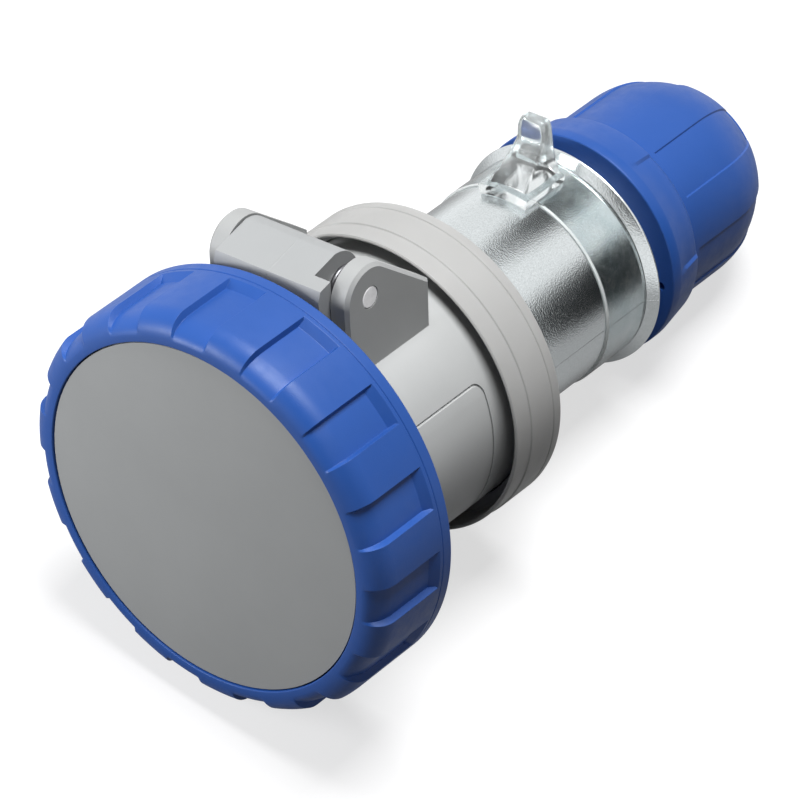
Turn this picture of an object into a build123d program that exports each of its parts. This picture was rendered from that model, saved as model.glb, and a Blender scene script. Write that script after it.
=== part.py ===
"""Straight industrial power connector with a sprung, bayonet-locked lid.

Every piece is drawn in the connector's own axes, in millimetres: Y runs along the
connector from the lid's outer face to the cable gland, Z points at the lid hinge and
X to the right as seen from the lid. At the end the whole connector is laid down the
way it rests on a table, on two lands of the ring and on the dome of the gland nut.
"""
from build123d import *
from math import acos, asin, atan2, cos, degrees, hypot, radians, sin, sqrt
import os

# Fits and clearances
RUN = 0.05            # shaft in a bore, on the radius
TURN = 0.1            # ring on its hub, on the radius
GAP = 0.3             # between pieces that only sit near each other
EMBED = 1.0           # how far a boss or lug reaches into the wall it grows from

# Front housing
BODY_R = 28.8
SHROUD_R = BODY_R + 1.8
SHROUD_BORE = BODY_R - 2.6
SHROUD_TAPER = (21.6, 23.6)
LUG_R = SHROUD_R + 7.0
LUG_FRONT = 11.6
LUG_REAR = 15.0
LUG_ARC = 24.0
SEAT_FRONT = 33.0     # web that the contact carrier bears on
SEAT_REAR = 36.0
REAR_BORE = BODY_R - 3.0
BODY_REAR = 64.0
KEY_WIDTH = 8.0
KEY_DEEP = 1.4

# Moulded outline on the housing's right side
PANEL_TOP = 26.0      # degrees above the side line
PANEL_BOTTOM = -46.0
PANEL_FRONT = 25.6
PANEL_REAR = 51.8
PANEL_LINE = 0.5
PANEL_GROOVE = 0.3
PANEL_ROUND = 2.6

# Lid
SPIGOT_R = SHROUD_R + 3.0
SPIGOT_Y = 9.4
HUB_R = SPIGOT_R + 1.6
HUB_Y = 7.4
LID_R = HUB_R + 1.7
LID_EDGE_Y = 3.6      # back of the lid's rim
LID_FLOOR_Y = 5.0
LID_CUP_R = SHROUD_R + 0.7

# Gasket in the lid
GASKET_IN = SHROUD_BORE - 1.2
GASKET_Y = 8.4

# Bayonet ring
CAM_IN = SHROUD_R + 3.0
CAM_DEEP = 5.1
CAM_ARC = 26.0
RING_BORE = LUG_R + 1.4
RING_WALL = 4.0
RING_R = RING_BORE + RING_WALL
RING_FRONT = -0.4
RING_REAR = 21.2
RING_FACE_R = LID_R + 1.5    # where the flat front face ends and the rounding begins
RING_ROUND_Y = 4.6
REAR_EDGE = 0.6
RING_LINE_Y = 18.3    # fine line round the ring behind the windows
RING_LINE = 0.2
WINDOWS = 15
WINDOW_DEPTH = 1.3
WINDOW_REAR = 16.4
WINDOW_SLOPE = 0.9
LOCK_TURN = 32.0      # turn of the ring from open to locked

# Retainer clip behind the ring
CLIP_R = HUB_R + 2.0

# Hinge
PIN_Y = 32.0
PIN_Z = RING_R - 4.5
PIN_R = 2.25
EAR_IN = 13.0
EAR_OUT = 17.0
EAR_R = 6.8
EAR_REAR_TOP = (49.4, BODY_R + 4.4)
EAR_REAR_LOW = (49.0, sqrt(BODY_R ** 2 - EAR_OUT ** 2) - EMBED)
EAR_EDGE = 0.7
ARM_HALF = 12.7
ARM_FRONT = 22.3
ARM_FRONT_Z = RING_R - 0.1
ARM_NOSE_Z = RING_R - 1.8
ARM_NOSE = 0.7
BARREL_R = 6.5
ROOT_HALF = 12.4
ROOT_R = RING_BORE - 0.6
SPRING_POCKET_X = 8.9
SPRING_POCKET_Y = 26.0

# Torsion spring
WIRE_R = 0.6
COIL_R = 3.9
COIL_TURNS = 1.75
COIL_END_X = 12.3
COIL_PITCH = 1.35
SPRING_LEG = 9.5

# Contact carrier and contacts
CARRIER_R = SHROUD_BORE - 3.8
CARRIER_FRONT = 11.0
FLANGE_R = REAR_BORE - 0.4
FLANGE_REAR = 40.0
CARRIER_REAR = 44.0
PITCH_R = 12.5
PHASE_ANGLES = (0.0, 90.0, 180.0)
EARTH_ANGLE = 270.0
PHASE_BORE = 2.55
EARTH_BORE = 3.55
SLEEVE_WALL = 1.1
MOUTH_LIP = 2.0
SLEEVE_FRONT = 13.3
BORE_DEEP = 24.0
HEAD_REAR = 56.0
HEAD_WALL = 2.3
WIRE_HOLE = 2.0
POST_R = 3.4
POST_CENTRE_R = 15.6
POST_ANGLES = (45.0, 225.0)
SEGMENT_JOINTS = (-45.0, 64.5, 135.0, 242.0, 315.0)

# Rear plate that holds the contacts, and its screws
PLATE_R = 20.6
PLATE_THICK = 2.6
PLATE_SCREW_R = 1.5
PLATE_SCREW_LONG = 9.0
SCREW_HEAD_R = 2.8
SCREW_HEAD_THICK = 1.8
SLOT = 0.8

# Terminal screws
TERMINAL_SCREW_R = 1.6
TERMINAL_SCREW_LONG = 5.4

# Coupling collar, seal and handle
COLLAR_R = BODY_R + 3.7
COLLAR_WALL = 1.0
COLLAR_FRONT = 54.3
COLLAR_STEP_Y = 58.7
COLLAR_BEAD_Y = 65.6
COLLAR_LINE = 0.25
COLLAR_WEB = 60.5
COLLAR_REAR = 68.3
SEAL_THICK = 1.0
HANDLE_FLANGE_R = BODY_R - 0.4
HANDLE_FLANGE_REAR = 66.0
TUBE_R = 22.0
TUBE_WALL = 2.3
BAND_FRONT = 96.0
BAND_REAR = 108.4
BAND_SEAT = 0.2
RIM_FRONT = 108.6
RIM_R = TUBE_R + 2.4
RIM_EDGE_Y = 110.0
RIM_REAR = 110.5
NECK_R = TUBE_R - 3.4
NECK_WALL = 2.4
NECK_REAR = 130.0
NECK_WEB = 108.0      # shoulder inside, where the tube narrows to the neck

# Clear lock ring with its thumb tab
BAND_THICK = 1.05
PAD_HALF = 5.6
PAD_FRONT = 92.7
PAD_REAR = 105.0
PAD_R = TUBE_R + 2.2
TAB_HALF = 2.7
TAB_FRONT = 102.0
TAB_REAR = 105.2
TAB_TOP = TUBE_R + 13.3
TAB_SHOULDER = TUBE_R + 8.8
TAB_TOE = 94.2

# Gland
CLAW_FLANGE_Y = 105.8
CLAW_R = NECK_R - NECK_WALL - 0.4
CLAW_WALL = 3.2
CLAW_REAR = 129.6
CLAWS = 8
CLAW_SLOT = 1.6
CLAW_SLOT_Y = 116.0
LIP_IN = CLAW_R - CLAW_WALL - 2.0
LIP_REAR = 109.0
CABLE_R = 9.2
GROMMET_IN = CABLE_R - 0.4
GROMMET_REAR = 127.5
NUT_FRONT = 115.0
NUT_RIM_R = TUBE_R + 2.35
NUT_RIM_REAR = 117.4
NUT_BAND_R = TUBE_R + 1.1
NUT_BAND_REAR = 124.7
DOME_R = TUBE_R - 0.6
DOME_FRONT = 126.2
DOME_STRAIGHT = 141.0
NOSE_R = DOME_R - 1.2
NUT_WALL = 2.6
NUT_THREAD_REAR = 133.0
THRUST_FRONT = 134.4
THRUST_REAR = 137.4
WASHER_THICK = 1.4
WASHER_R = NECK_R - 2.2
NOSE_WALL = 4.88      # along the axis at the cable hole
PANELS = 6            # sunk panels round the dome
PANEL_DEEP = 0.35
PANEL_START = 127.6
BAND_PANELS = 3
BAND_PANEL_DEEP = 0.5
VENT_R = 0.9
VENT_PITCH = NECK_R + 2.6
VENT_ANGLE = -6.5


def side_plane(angle):
    """Plane through the axis: sketch x runs rearwards, sketch y outwards at the angle."""
    a = radians(angle)
    return Plane(origin=(0, 0, 0), x_dir=(0, 1, 0), z_dir=(sin(a), 0, -cos(a)))


def cross_plane(y):
    """Plane across the axis at a station, seen from the lid, X right and Z up."""
    return Plane(origin=(0, y, 0), x_dir=(1, 0, 0), z_dir=(0, -1, 0))


def on_circle(radius, angle):
    return (radius * cos(radians(angle)), radius * sin(radians(angle)))


PROFILE = side_plane(90)
rib_in = HUB_R + TURN
rib_front = LID_EDGE_Y + GAP
rib_rear = HUB_Y - GAP
window_arc = 180.0 / WINDOWS

# Lid: disc, hub and cup turned as one, with the hinge arm on top
arm_top_angle = 90.0
with BuildPart() as lid:
    with BuildSketch(PROFILE):
        with BuildLine():
            Polyline((0, 0), (0, LID_R), (LID_EDGE_Y, LID_R), (LID_EDGE_Y, HUB_R), (HUB_Y, HUB_R),
                     (HUB_Y, SPIGOT_R), (SPIGOT_Y, SPIGOT_R), (SPIGOT_Y, LID_CUP_R),
                     (LID_FLOOR_Y, LID_CUP_R), (LID_FLOOR_Y, 0), close=True)
        make_face()
    revolve(axis=Axis.Y)
    # Root of the arm, under the ring and outside the shroud
    with BuildSketch(cross_plane(ARM_FRONT + 2)):
        Circle(ROOT_R)
        Rectangle(2 * ROOT_HALF, RING_R, align=(Align.CENTER, Align.MIN), mode=Mode.INTERSECT)
        Rectangle(2 * ROOT_HALF, 2 * (PIN_Z - BARREL_R), mode=Mode.SUBTRACT)
    extrude(amount=ARM_FRONT + 2 - HUB_Y)
    # Hinge block
    with BuildSketch(Plane.YZ.offset(-ARM_HALF)):
        with BuildLine():
            Polyline((PIN_Y, PIN_Z - BARREL_R), (ARM_FRONT, PIN_Z - BARREL_R), (ARM_FRONT, ARM_NOSE_Z),
                     (ARM_FRONT + ARM_NOSE, ARM_FRONT_Z), (PIN_Y, PIN_Z + BARREL_R))
            ThreePointArc((PIN_Y, PIN_Z + BARREL_R), (PIN_Y + BARREL_R, PIN_Z), (PIN_Y, PIN_Z - BARREL_R))
        make_face()
    extrude(amount=2 * ARM_HALF)
    # Slot at the right end, where the spring sits round the pin
    with BuildSketch(Plane.YZ.offset(SPRING_POCKET_X)):
        with Locations((SPRING_POCKET_Y, PIN_Z)):
            Rectangle(4 * BARREL_R, 4 * BARREL_R, align=(Align.MIN, Align.CENTER))
    extrude(amount=ARM_HALF, mode=Mode.SUBTRACT)
    # Pin bore and the hole for the spring's front leg
    with BuildSketch(Plane.YZ.offset(-2 * ARM_HALF)):
        with Locations((PIN_Y, PIN_Z)):
            Circle(PIN_R + RUN)
    extrude(amount=4 * ARM_HALF, mode=Mode.SUBTRACT)
    with BuildSketch(cross_plane(SPRING_POCKET_Y)):
        with Locations((COIL_END_X - COIL_TURNS * COIL_PITCH, PIN_Z - COIL_R)):
            Circle(WIRE_R + GAP)
    extrude(amount=SPRING_LEG, mode=Mode.SUBTRACT)
lid.part.label = "lid"

# Gasket pressed into the lid, against which the shroud closes
with BuildPart() as lid_gasket:
    with BuildSketch(cross_plane(GASKET_Y)):
        Circle(LID_CUP_R - GAP)
        Circle(GASKET_IN, mode=Mode.SUBTRACT)
    extrude(amount=GASKET_Y - LID_FLOOR_Y)
lid_gasket.part.label = "lid_gasket"

# Bayonet ring: turned section, sunk windows, inner cams
with BuildPart() as bayonet_ring:
    with BuildSketch(PROFILE):
        with BuildLine():
            Polyline((RING_ROUND_Y, RING_R), (RING_LINE_Y - RING_LINE, RING_R),
                     (RING_LINE_Y, RING_R - RING_LINE), (RING_LINE_Y + RING_LINE, RING_R),
                     (RING_REAR - REAR_EDGE, RING_R), (RING_REAR, RING_R - REAR_EDGE),
                     (RING_REAR, RING_BORE), (rib_rear, RING_BORE), (rib_rear, rib_in), (rib_front, rib_in),
                     (rib_front, LID_R + GAP), (RING_FRONT, LID_R + GAP), (RING_FRONT, RING_FACE_R))
            EllipticalCenterArc((RING_ROUND_Y, RING_FACE_R), RING_ROUND_Y - RING_FRONT, RING_R - RING_FACE_R,
                                start_angle=90, arc_size=90)
        make_face()
    revolve(axis=Axis.Y)
    floor_r = RING_R - WINDOW_DEPTH
    for i in range(WINDOWS):
        with BuildSketch(side_plane(90 + i * 360 / WINDOWS + window_arc / 2)):
            with BuildLine():
                Polyline((RING_ROUND_Y + WINDOW_DEPTH, floor_r), (WINDOW_REAR, floor_r),
                         (WINDOW_REAR + WINDOW_SLOPE, RING_R), (WINDOW_REAR + WINDOW_SLOPE, RING_R + 1),
                         (RING_FRONT - 1, RING_R + 1), (RING_FRONT - 1, RING_FACE_R), (RING_FRONT, RING_FACE_R))
                EllipticalCenterArc((RING_ROUND_Y + WINDOW_DEPTH, RING_FACE_R),
                                    RING_ROUND_Y + WINDOW_DEPTH - RING_FRONT, floor_r - RING_FACE_R,
                                    start_angle=90, arc_size=90)
            make_face()
        revolve(axis=Axis.Y, revolution_arc=window_arc, mode=Mode.SUBTRACT)
    for centre in (-LOCK_TURN, 180 - LOCK_TURN):
        with BuildSketch(side_plane(centre + CAM_ARC / 2)):
            with Locations((LUG_REAR + GAP, CAM_IN)):
                Rectangle(CAM_DEEP, RING_BORE - CAM_IN + EMBED, align=(Align.MIN, Align.MIN))
        revolve(axis=Axis.Y, revolution_arc=CAM_ARC)
bayonet_ring.part.label = "bayonet_ring"

# Open retainer clip that keeps the ring on the lid, clear of the hinge arm
clip_half = degrees(asin((ROOT_HALF + 2 * GAP) / SPIGOT_R))
with BuildPart() as ring_retainer:
    with BuildSketch(side_plane(90 - clip_half)):
        with Locations((HUB_Y, SPIGOT_R + GAP)):
            Rectangle(SPIGOT_Y - HUB_Y, CLIP_R - SPIGOT_R - GAP, align=(Align.MIN, Align.MIN))
    revolve(axis=Axis.Y, revolution_arc=360 - 2 * clip_half)
ring_retainer.part.label = "ring_retainer"

# Hinge pin, flush with the outer faces of both ears
with BuildPart() as hinge_pin:
    with BuildSketch(Plane.YZ.offset(-EAR_OUT)):
        with Locations((PIN_Y, PIN_Z)):
            Circle(PIN_R)
    extrude(amount=2 * EAR_OUT)
    chamfer(hinge_pin.edges(), length=0.25)
hinge_pin.part.label = "hinge_pin"

# Torsion spring: one leg in the arm, the coil round the pin, one leg in the housing
coil_long = COIL_TURNS * COIL_PITCH
coil_plane = Plane(origin=(COIL_END_X - coil_long, PIN_Y, PIN_Z), x_dir=(0, 0, -1), z_dir=(1, 0, 0))
coil = Edge.make_helix(COIL_PITCH, coil_long, COIL_R).moved(coil_plane.location)
leg_foot_z = sqrt(BODY_R ** 2 - COIL_END_X ** 2) - 1.6
with BuildPart() as torsion_spring:
    with BuildSketch(Plane(origin=coil @ 0, z_dir=coil % 0)):
        Circle(WIRE_R)
    sweep(path=coil, is_frenet=True)
    with BuildSketch(Plane(origin=coil @ 0, z_dir=(0, -1, 0))):
        Circle(WIRE_R)
    extrude(amount=PIN_Y - SPRING_POCKET_Y + 4)
    with BuildSketch(Plane(origin=coil @ 1, z_dir=(0, 0, -1))):
        Circle(WIRE_R)
    extrude(amount=PIN_Z - leg_foot_z)
    with Locations(coil @ 0, coil @ 1):
        Sphere(WIRE_R)
torsion_spring.part.label = "torsion_spring"

# Moulded outline, cut square to the housing wall
panel_mid_angle = (PANEL_TOP + PANEL_BOTTOM) / 2
panel_half = BODY_R * sin(radians((PANEL_TOP - PANEL_BOTTOM) / 2))
panel_plane = Plane(origin=(0, (PANEL_FRONT + PANEL_REAR) / 2, 0), x_dir=(0, 1, 0),
                    z_dir=(cos(radians(panel_mid_angle)), 0, sin(radians(panel_mid_angle))))
with BuildPart() as panel_outline:
    with BuildSketch(cross_plane(PANEL_REAR + 2)):
        Circle(BODY_R + 2)
        Circle(BODY_R - PANEL_GROOVE, mode=Mode.SUBTRACT)
    extrude(amount=PANEL_REAR - PANEL_FRONT + 4)
    with BuildSketch(panel_plane):
        RectangleRounded(PANEL_REAR - PANEL_FRONT, 2 * panel_half, PANEL_ROUND)
        RectangleRounded(PANEL_REAR - PANEL_FRONT - 2 * PANEL_LINE, 2 * (panel_half - PANEL_LINE),
                         PANEL_ROUND - PANEL_LINE, mode=Mode.SUBTRACT)
    extrude(amount=BODY_R + 4, mode=Mode.INTERSECT)

# Front housing: shroud, body, hinge ears, bayonet lugs, keyway
ear_gap = (EAR_REAR_TOP[0] - PIN_Y, EAR_REAR_TOP[1] - PIN_Z)
ear_tangent = degrees(atan2(ear_gap[1], ear_gap[0]) + acos(EAR_R / hypot(*ear_gap)))
ear_touch = (PIN_Y + EAR_R * cos(radians(ear_tangent)), PIN_Z + EAR_R * sin(radians(ear_tangent)))
ear_crown_angle = radians((180 + ear_tangent) / 2)
ear_crown = (PIN_Y + EAR_R * cos(ear_crown_angle), PIN_Z + EAR_R * sin(ear_crown_angle))
with BuildPart() as front_housing:
    for side in (-EAR_OUT, EAR_IN):
        with BuildSketch(Plane.YZ.offset(side)):
            with BuildLine():
                Line((PIN_Y - EAR_R, EAR_REAR_LOW[1]), (PIN_Y - EAR_R, PIN_Z))
                ThreePointArc((PIN_Y - EAR_R, PIN_Z), ear_crown, ear_touch)
                Polyline(ear_touch, EAR_REAR_TOP, EAR_REAR_LOW, (PIN_Y - EAR_R, EAR_REAR_LOW[1]))
            make_face()
        extrude(amount=EAR_OUT - EAR_IN)
    outer_edges = front_housing.faces().filter_by(Axis.X).sort_by(Axis.X)
    chamfer(outer_edges[0].edges().sort_by(Axis.Z)[1:], length=EAR_EDGE)
    outer_edges = front_housing.faces().filter_by(Axis.X).sort_by(Axis.X)
    chamfer(outer_edges[-1].edges().sort_by(Axis.Z)[1:], length=EAR_EDGE)
    with BuildSketch(PROFILE):
        with BuildLine():
            Polyline((GASKET_Y, 0), (GASKET_Y, SHROUD_R), (SHROUD_TAPER[0], SHROUD_R), (SHROUD_TAPER[1], BODY_R),
                     (BODY_REAR, BODY_R), (BODY_REAR, 0), close=True)
        make_face()
    revolve(axis=Axis.Y)
    for centre in (0, 180):
        with BuildSketch(side_plane(centre + LUG_ARC / 2)):
            with Locations((LUG_FRONT, SHROUD_R - EMBED)):
                Rectangle(LUG_REAR - LUG_FRONT, LUG_R - SHROUD_R + EMBED, align=(Align.MIN, Align.MIN))
        revolve(axis=Axis.Y, revolution_arc=LUG_ARC)
    # Bores from both ends, with the carrier's seat between them
    with BuildSketch(PROFILE):
        with BuildLine():
            Polyline((GASKET_Y, 0), (GASKET_Y, SHROUD_BORE), (SEAT_FRONT, SHROUD_BORE),
                     (SEAT_FRONT, CARRIER_R + GAP), (SEAT_REAR, CARRIER_R + GAP), (SEAT_REAR, REAR_BORE),
                     (BODY_REAR, REAR_BORE), (BODY_REAR, 0), close=True)
        make_face()
    revolve(axis=Axis.Y, mode=Mode.SUBTRACT)
    # Keyway along the bottom of the shroud
    with BuildSketch(cross_plane(SEAT_FRONT)):
        Circle(SHROUD_BORE + KEY_DEEP)
        with Locations((0, -SHROUD_BORE)):
            Rectangle(KEY_WIDTH, 4 * KEY_DEEP, mode=Mode.INTERSECT)
    extrude(amount=SEAT_FRONT - GASKET_Y, mode=Mode.SUBTRACT)
    # Groove for the rear seal, pin bore, hole for the spring's rear leg
    with BuildSketch(cross_plane(BODY_REAR)):
        Circle(BODY_R - 2 * GAP)
        Circle(REAR_BORE + 2 * GAP, mode=Mode.SUBTRACT)
    extrude(amount=SEAL_THICK, mode=Mode.SUBTRACT)
    with BuildSketch(Plane.YZ.offset(-EAR_OUT)):
        with Locations((PIN_Y, PIN_Z)):
            Circle(PIN_R + RUN)
    extrude(amount=2 * EAR_OUT, mode=Mode.SUBTRACT)
    with BuildSketch(Plane.XY.offset(leg_foot_z - GAP)):
        with Locations((COIL_END_X, PIN_Y - COIL_R)):
            Circle(WIRE_R + GAP)
    extrude(amount=4, mode=Mode.SUBTRACT)
    add(panel_outline.part, mode=Mode.SUBTRACT)
front_housing.part.label = "front_housing"

# Contact carrier: four segments, one round each contact, that fill the round seat together
contacts = [(PHASE_BORE, a) for a in PHASE_ANGLES] + [(EARTH_BORE, EARTH_ANGLE)]


def segment_at(bore, angle, start, end):
    """Sector of the insert with a pin's mouth, its sleeve's seat and the screw post it carries."""
    with BuildPart() as segment:
        with BuildSketch(side_plane(end)):
            with BuildLine():
                Polyline((CARRIER_FRONT, 0), (CARRIER_FRONT, CARRIER_R - 0.8), (CARRIER_FRONT + 0.8, CARRIER_R),
                         (SEAT_REAR, CARRIER_R), (SEAT_REAR, FLANGE_R), (FLANGE_REAR, FLANGE_R),
                         (FLANGE_REAR, CARRIER_R), (CARRIER_REAR, CARRIER_R), (CARRIER_REAR, 0), close=True)
            make_face()
        revolve(axis=Axis.Y, revolution_arc=end - start)
        for post in [p for p in POST_ANGLES if start < p < end]:
            with BuildSketch(cross_plane(HEAD_REAR)):
                with Locations(on_circle(POST_CENTRE_R, post)):
                    Circle(POST_R)
            extrude(amount=HEAD_REAR - CARRIER_REAR)
            with BuildSketch(cross_plane(HEAD_REAR)):
                with Locations(on_circle(POST_CENTRE_R, post)):
                    Circle(PLATE_SCREW_R + RUN)
            extrude(amount=PLATE_SCREW_LONG, mode=Mode.SUBTRACT)
        with BuildSketch(cross_plane(CARRIER_REAR)):
            with Locations(on_circle(PITCH_R, angle)):
                Circle(bore + SLEEVE_WALL + GAP)
        extrude(amount=CARRIER_REAR - CARRIER_FRONT - MOUTH_LIP, mode=Mode.SUBTRACT)
        with BuildSketch(cross_plane(CARRIER_REAR)):
            with Locations(on_circle(PITCH_R, angle)):
                Circle(bore + GAP)
        extrude(amount=CARRIER_REAR, mode=Mode.SUBTRACT)
    return segment.part.solid()


contact_carrier = Compound([segment_at(bore, angle, start, end) for (bore, angle), start, end
                            in zip(contacts, SEGMENT_JOINTS, SEGMENT_JOINTS[1:])])
contact_carrier.label = "contact_carrier"

def contact_at(bore, angle):
    """Turned sleeve with a terminal head, a wire hole behind and a tapped hole in its side."""
    reach = on_circle(PITCH_R, angle)
    head = bore + HEAD_WALL
    with BuildPart() as contact:
        with BuildSketch(cross_plane(HEAD_REAR)):
            with Locations(reach):
                Circle(bore + SLEEVE_WALL)
        extrude(amount=HEAD_REAR - SLEEVE_FRONT)
        with BuildSketch(cross_plane(HEAD_REAR)):
            with Locations(reach):
                Circle(head)
        extrude(amount=HEAD_REAR - CARRIER_REAR)
        with BuildSketch(cross_plane(SLEEVE_FRONT + BORE_DEEP)):
            with Locations(reach):
                Circle(bore)
        extrude(amount=BORE_DEEP, mode=Mode.SUBTRACT)
        with BuildSketch(cross_plane(HEAD_REAR)):
            with Locations(reach):
                Circle(WIRE_HOLE)
        extrude(amount=HEAD_REAR - CARRIER_REAR - 2, mode=Mode.SUBTRACT)
        with BuildSketch(terminal_plane(bore, angle)):
            Circle(TERMINAL_SCREW_R + RUN)
        extrude(amount=2 * HEAD_WALL, mode=Mode.SUBTRACT)
    return contact.part


def terminal_plane(bore, angle):
    """Plane square to a terminal screw, at the inner end of its thread."""
    a = radians(angle)
    start = PITCH_R + WIRE_HOLE - 0.4
    mid = (HEAD_REAR + CARRIER_REAR) / 2
    return Plane(origin=(start * cos(a), mid, start * sin(a)), x_dir=(0, 1, 0), z_dir=(cos(a), 0, sin(a)))


phase_contacts = Part() + [contact_at(PHASE_BORE, a) for a in PHASE_ANGLES]
phase_contacts.label = "phase_contacts"
earth_contact = contact_at(EARTH_BORE, EARTH_ANGLE)
earth_contact.label = "earth_contact"

# Terminal screws, one in the side of each terminal head
with BuildPart() as terminal_screws:
    for bore, angle in contacts:
        base = terminal_plane(bore, angle).offset(0.4 + GAP)
        with BuildSketch(base):
            Circle(TERMINAL_SCREW_R)
        extrude(amount=TERMINAL_SCREW_LONG)
        with BuildSketch(base.offset(TERMINAL_SCREW_LONG - SLOT)):
            Rectangle(3 * TERMINAL_SCREW_R, SLOT)
        extrude(amount=2 * SLOT, mode=Mode.SUBTRACT)
terminal_screws.part.label = "terminal_screws"

# Rear plate over the terminal heads
with BuildPart() as contact_plate:
    with BuildSketch(cross_plane(HEAD_REAR + PLATE_THICK)):
        Circle(PLATE_R)
        for bore, angle in contacts:
            with Locations(on_circle(PITCH_R, angle)):
                Circle(WIRE_HOLE + GAP, mode=Mode.SUBTRACT)
        with PolarLocations(POST_CENTRE_R, 2, start_angle=POST_ANGLES[0]):
            Circle(PLATE_SCREW_R + RUN, mode=Mode.SUBTRACT)
    extrude(amount=PLATE_THICK)
contact_plate.part.label = "contact_plate"

# The two screws that hold the plate on the carrier's posts
with BuildPart() as plate_screws:
    with BuildSketch(cross_plane(HEAD_REAR + PLATE_THICK)):
        with PolarLocations(POST_CENTRE_R, 2, start_angle=POST_ANGLES[0]):
            Circle(PLATE_SCREW_R)
    extrude(amount=PLATE_THICK + PLATE_SCREW_LONG - GAP)
    with BuildSketch(cross_plane(HEAD_REAR + PLATE_THICK + SCREW_HEAD_THICK)):
        with PolarLocations(POST_CENTRE_R, 2, start_angle=POST_ANGLES[0]):
            Circle(SCREW_HEAD_R)
    extrude(amount=SCREW_HEAD_THICK)
    with BuildSketch(cross_plane(HEAD_REAR + PLATE_THICK + SCREW_HEAD_THICK)):
        with PolarLocations(POST_CENTRE_R, 2, start_angle=POST_ANGLES[0]):
            Rectangle(3 * SCREW_HEAD_R, SLOT)
    extrude(amount=SLOT, mode=Mode.SUBTRACT)
plate_screws.part.label = "plate_screws"

# Flat seal between the housing and the handle's flange
with BuildPart() as housing_seal:
    with BuildSketch(cross_plane(BODY_REAR)):
        Circle(BODY_R - 3 * GAP)
        Circle(REAR_BORE + 3 * GAP, mode=Mode.SUBTRACT)
    extrude(amount=SEAL_THICK)
housing_seal.part.label = "housing_seal"

# Coupling collar: skirt open to the front, web over the housing, plate behind the flange
collar_in = COLLAR_R - COLLAR_WALL
with BuildPart() as coupling_collar:
    with BuildSketch(PROFILE):
        with BuildLine():
            Polyline((COLLAR_FRONT, collar_in + 0.3), (COLLAR_FRONT, COLLAR_R - COLLAR_LINE - 0.3),
                     (COLLAR_FRONT + 0.3, COLLAR_R - COLLAR_LINE), (COLLAR_STEP_Y, COLLAR_R - COLLAR_LINE),
                     (COLLAR_STEP_Y + COLLAR_LINE, COLLAR_R), (COLLAR_BEAD_Y - COLLAR_LINE, COLLAR_R),
                     (COLLAR_BEAD_Y, COLLAR_R - COLLAR_LINE), (COLLAR_BEAD_Y + COLLAR_LINE, COLLAR_R),
                     (COLLAR_REAR - 0.8, COLLAR_R), (COLLAR_REAR, COLLAR_R - 0.8), (COLLAR_REAR, TUBE_R + GAP),
                     (HANDLE_FLANGE_REAR, TUBE_R + GAP), (HANDLE_FLANGE_REAR, BODY_R + GAP),
                     (COLLAR_WEB, BODY_R + GAP), (COLLAR_WEB, collar_in), (COLLAR_FRONT + 0.3, collar_in),
                     close=True)
        make_face()
    revolve(axis=Axis.Y)
coupling_collar.part.label = "coupling_collar"

# Handle: front flange, tube, seat of the lock ring, rear rim, threaded neck
tube_in = TUBE_R - TUBE_WALL
seat_r = TUBE_R - BAND_SEAT
neck_in = NECK_R - NECK_WALL
with BuildPart() as handle:
    with BuildSketch(PROFILE):
        with BuildLine():
            Polyline((BODY_REAR, tube_in), (BODY_REAR, HANDLE_FLANGE_R), (HANDLE_FLANGE_REAR, HANDLE_FLANGE_R),
                     (HANDLE_FLANGE_REAR, TUBE_R), (BAND_FRONT - TURN, TUBE_R), (BAND_FRONT - TURN, seat_r),
                     (RIM_FRONT, seat_r), (RIM_FRONT, TUBE_R + 0.4), (RIM_EDGE_Y, RIM_R), (RIM_REAR, RIM_R),
                     (RIM_REAR, NECK_R), (NECK_REAR - 0.8, NECK_R), (NECK_REAR, NECK_R - 0.8),
                     (NECK_REAR, neck_in), (NECK_WEB, neck_in), (NECK_WEB, tube_in), close=True)
        make_face()
    revolve(axis=Axis.Y)
handle.part.label = "handle"

# Clear lock ring: band, foot pad, thumb tab with a flared foot
band_in = seat_r + TURN
band_out = band_in + BAND_THICK
with BuildPart() as lock_ring:
    with BuildSketch(Plane.YZ.offset(-PAD_HALF)):
        with BuildLine():
            Polyline((TAB_TOE, band_in), (TAB_TOE, PAD_R), (TAB_FRONT, TAB_SHOULDER), (TAB_FRONT, TAB_TOP),
                     (TAB_REAR, TAB_TOP), (TAB_REAR, band_in), close=True)
        make_face()
    extrude(amount=2 * PAD_HALF)
    with BuildSketch(cross_plane(TAB_REAR)):
        with BuildLine():
            Polyline((-PAD_HALF + 1, band_in), (-TAB_HALF, TAB_SHOULDER - 1.5), (-TAB_HALF, TAB_TOP),
                     (TAB_HALF, TAB_TOP), (TAB_HALF, TAB_SHOULDER - 1.5), (PAD_HALF - 1, band_in), close=True)
        make_face()
    extrude(amount=TAB_REAR - TAB_TOE, mode=Mode.INTERSECT)
    fillet(lock_ring.edges().group_by(Axis.Z)[-1], radius=0.7)
    with BuildSketch(cross_plane(PAD_REAR)):
        Circle(PAD_R)
        Rectangle(2 * PAD_HALF, PAD_R, align=(Align.CENTER, Align.MIN), mode=Mode.INTERSECT)
    extrude(amount=PAD_REAR - PAD_FRONT)
    with BuildSketch(cross_plane(BAND_REAR)):
        Circle(band_out)
    extrude(amount=BAND_REAR - BAND_FRONT)
    with BuildSketch(cross_plane(BAND_REAR)):
        Circle(band_in)
    extrude(amount=BAND_REAR - BAND_FRONT, mode=Mode.SUBTRACT)
    with BuildSketch(cross_plane(BAND_FRONT)):
        Circle(TUBE_R + TURN)
    extrude(amount=BAND_FRONT - PAD_FRONT, mode=Mode.SUBTRACT)
lock_ring.part.label = "lock_ring"

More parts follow.
